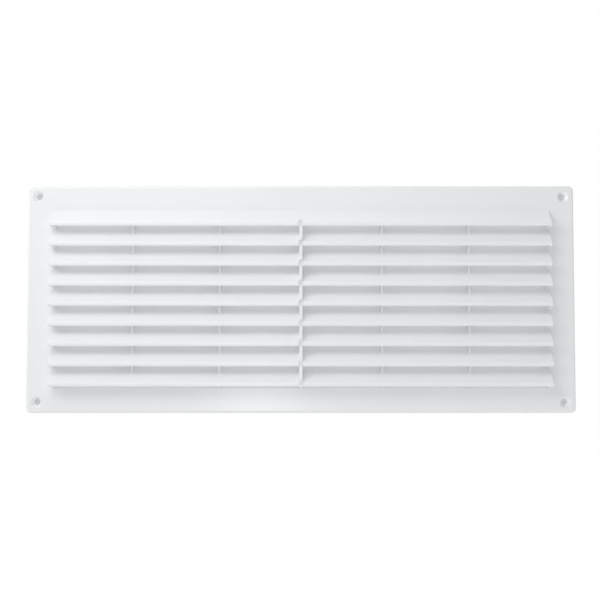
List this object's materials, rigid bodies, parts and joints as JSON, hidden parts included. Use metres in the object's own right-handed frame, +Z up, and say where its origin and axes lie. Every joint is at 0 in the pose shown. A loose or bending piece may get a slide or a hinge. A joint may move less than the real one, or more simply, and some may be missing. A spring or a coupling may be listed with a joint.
{
  "type": "ventilation grille",
  "caption": "Rectangular wall vent moulded in one piece: flat screw-on flange round a bank of hooded, sloping louvres with a central mullion, which passes air and sheds rain.",
  "frame": {"origin": "centre of the flat back face, on the wall", "axes": "+X to the right as seen from the front, +Y into the wall, +Z up"},
  "size_m": [0.26, 0.009, 0.108],
  "materials": {
    "white_plastic": "satin moulded"
  },
  "bodies": {
    "root": {"louvre_grille": "white_plastic"}
  },
  "joints": []
}
